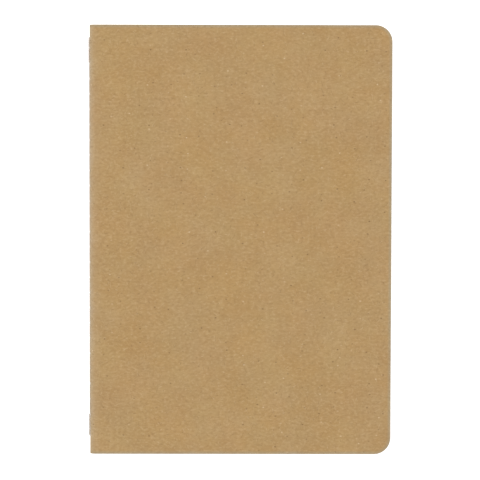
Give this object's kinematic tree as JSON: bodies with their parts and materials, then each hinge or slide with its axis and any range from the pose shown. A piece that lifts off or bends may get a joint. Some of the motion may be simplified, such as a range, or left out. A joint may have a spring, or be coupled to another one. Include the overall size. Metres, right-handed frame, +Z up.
{
  "type": "pocket notebook",
  "caption": "Slim pocket notebook: one signature of blank leaves machine sewn through the fold into a plain kraft card cover with round fore-edge corners.",
  "frame": {"origin": "middle of the notebook's outline, on the surface that the back cover lies on", "axes": "+X from the spine to the fore edge, +Y up the page to the head, +Z up out of the front cover"},
  "size_m": [0.1044, 0.148, 0.0041],
  "materials": {
    "kraft_card": "unbleached kraft card, matte, with fine light and dark fibres",
    "uncoated_paper": "uncoated off-white writing paper, blank",
    "sewing_thread": "twisted sewing thread, pale beige, matte"
  },
  "bodies": {
    "back_cover": {"back_cover": "kraft_card", "outer_thread": "sewing_thread"},
    "leaf_24": {"leaf_24": "uncoated_paper"},
    "leaf_23": {"leaf_23": "uncoated_paper"},
    "leaf_22": {"leaf_22": "uncoated_paper"},
    "leaf_21": {"leaf_21": "uncoated_paper"},
    "leaf_20": {"leaf_20": "uncoated_paper"},
    "leaf_19": {"leaf_19": "uncoated_paper"},
    "leaf_18": {"leaf_18": "uncoated_paper"},
    "leaf_17": {"leaf_17": "uncoated_paper"},
    "leaf_16": {"leaf_16": "uncoated_paper"},
    "leaf_15": {"leaf_15": "uncoated_paper"},
    "leaf_14": {"leaf_14": "uncoated_paper"},
    "leaf_13": {"leaf_13": "uncoated_paper", "inner_thread": "sewing_thread"},
    "leaf_12": {"leaf_12": "uncoated_paper"},
    "leaf_11": {"leaf_11": "uncoated_paper"},
    "leaf_10": {"leaf_10": "uncoated_paper"},
    "leaf_09": {"leaf_09": "uncoated_paper"},
    "leaf_08": {"leaf_08": "uncoated_paper"},
    "leaf_07": {"leaf_07": "uncoated_paper"},
    "leaf_06": {"leaf_06": "uncoated_paper"},
    "leaf_05": {"leaf_05": "uncoated_paper"},
    "leaf_04": {"leaf_04": "uncoated_paper"},
    "leaf_03": {"leaf_03": "uncoated_paper"},
    "leaf_02": {"leaf_02": "uncoated_paper"},
    "leaf_01": {"leaf_01": "uncoated_paper"},
    "front_cover": {"front_cover": "kraft_card"}
  },
  "joints": [
    {"name": "leaf_24_turn", "type": "hinge", "parent": "back_cover", "child": "leaf_24", "pos_m": [-0.05201, 0, 0.00207], "axis": [0, -1, 0], "range_deg": [0, 180]},
    {"name": "leaf_23_turn", "type": "hinge", "parent": "leaf_24", "child": "leaf_23", "pos_m": [-0.05201, 0, 0.00207], "axis": [0, -1, 0], "range_deg": [0, 180]},
    {"name": "leaf_22_turn", "type": "hinge", "parent": "leaf_23", "child": "leaf_22", "pos_m": [-0.05201, 0, 0.00207], "axis": [0, -1, 0], "range_deg": [0, 180]},
    {"name": "leaf_21_turn", "type": "hinge", "parent": "leaf_22", "child": "leaf_21", "pos_m": [-0.05201, 0, 0.00207], "axis": [0, -1, 0], "range_deg": [0, 180]},
    {"name": "leaf_20_turn", "type": "hinge", "parent": "leaf_21", "child": "leaf_20", "pos_m": [-0.05201, 0, 0.00207], "axis": [0, -1, 0], "range_deg": [0, 180]},
    {"name": "leaf_19_turn", "type": "hinge", "parent": "leaf_20", "child": "leaf_19", "pos_m": [-0.05201, 0, 0.00207], "axis": [0, -1, 0], "range_deg": [0, 180]},
    {"name": "leaf_18_turn", "type": "hinge", "parent": "leaf_19", "child": "leaf_18", "pos_m": [-0.05201, 0, 0.00207], "axis": [0, -1, 0], "range_deg": [0, 180]},
    {"name": "leaf_17_turn", "type": "hinge", "parent": "leaf_18", "child": "leaf_17", "pos_m": [-0.05201, 0, 0.00207], "axis": [0, -1, 0], "range_deg": [0, 180]},
    {"name": "leaf_16_turn", "type": "hinge", "parent": "leaf_17", "child": "leaf_16", "pos_m": [-0.05201, 0, 0.00207], "axis": [0, -1, 0], "range_deg": [0, 180]},
    {"name": "leaf_15_turn", "type": "hinge", "parent": "leaf_16", "child": "leaf_15", "pos_m": [-0.05201, 0, 0.00207], "axis": [0, -1, 0], "range_deg": [0, 180]},
    {"name": "leaf_14_turn", "type": "hinge", "parent": "leaf_15", "child": "leaf_14", "pos_m": [-0.05201, 0, 0.00207], "axis": [0, -1, 0], "range_deg": [0, 180]},
    {"name": "leaf_13_turn", "type": "hinge", "parent": "leaf_14", "child": "leaf_13", "pos_m": [-0.05201, 0, 0.00207], "axis": [0, -1, 0], "range_deg": [0, 180]},
    {"name": "leaf_12_turn", "type": "hinge", "parent": "leaf_13", "child": "leaf_12", "pos_m": [-0.05201, 0, 0.00207], "axis": [0, -1, 0], "range_deg": [0, 180]},
    {"name": "leaf_11_turn", "type": "hinge", "parent": "leaf_12", "child": "leaf_11", "pos_m": [-0.05201, 0, 0.00207], "axis": [0, -1, 0], "range_deg": [0, 180]},
    {"name": "leaf_10_turn", "type": "hinge", "parent": "leaf_11", "child": "leaf_10", "pos_m": [-0.05201, 0, 0.00207], "axis": [0, -1, 0], "range_deg": [0, 180]},
    {"name": "leaf_09_turn", "type": "hinge", "parent": "leaf_10", "child": "leaf_09", "pos_m": [-0.05201, 0, 0.00207], "axis": [0, -1, 0], "range_deg": [0, 180]},
    {"name": "leaf_08_turn", "type": "hinge", "parent": "leaf_09", "child": "leaf_08", "pos_m": [-0.05201, 0, 0.00207], "axis": [0, -1, 0], "range_deg": [0, 180]},
    {"name": "leaf_07_turn", "type": "hinge", "parent": "leaf_08", "child": "leaf_07", "pos_m": [-0.05201, 0, 0.00207], "axis": [0, -1, 0], "range_deg": [0, 180]},
    {"name": "leaf_06_turn", "type": "hinge", "parent": "leaf_07", "child": "leaf_06", "pos_m": [-0.05201, 0, 0.00207], "axis": [0, -1, 0], "range_deg": [0, 180]},
    {"name": "leaf_05_turn", "type": "hinge", "parent": "leaf_06", "child": "leaf_05", "pos_m": [-0.05201, 0, 0.00207], "axis": [0, -1, 0], "range_deg": [0, 180]},
    {"name": "leaf_04_turn", "type": "hinge", "parent": "leaf_05", "child": "leaf_04", "pos_m": [-0.05201, 0, 0.00207], "axis": [0, -1, 0], "range_deg": [0, 180]},
    {"name": "leaf_03_turn", "type": "hinge", "parent": "leaf_04", "child": "leaf_03", "pos_m": [-0.05201, 0, 0.00207], "axis": [0, -1, 0], "range_deg": [0, 180]},
    {"name": "leaf_02_turn", "type": "hinge", "parent": "leaf_03", "child": "leaf_02", "pos_m": [-0.05201, 0, 0.00207], "axis": [0, -1, 0], "range_deg": [0, 180]},
    {"name": "leaf_01_turn", "type": "hinge", "parent": "leaf_02", "child": "leaf_01", "pos_m": [-0.05201, 0, 0.00207], "axis": [0, -1, 0], "range_deg": [0, 180]},
    {"name": "front_cover_turn", "type": "hinge", "parent": "leaf_01", "child": "front_cover", "pos_m": [-0.05201, 0, 0.00207], "axis": [0, -1, 0], "range_deg": [0, 180]}
  ]
}
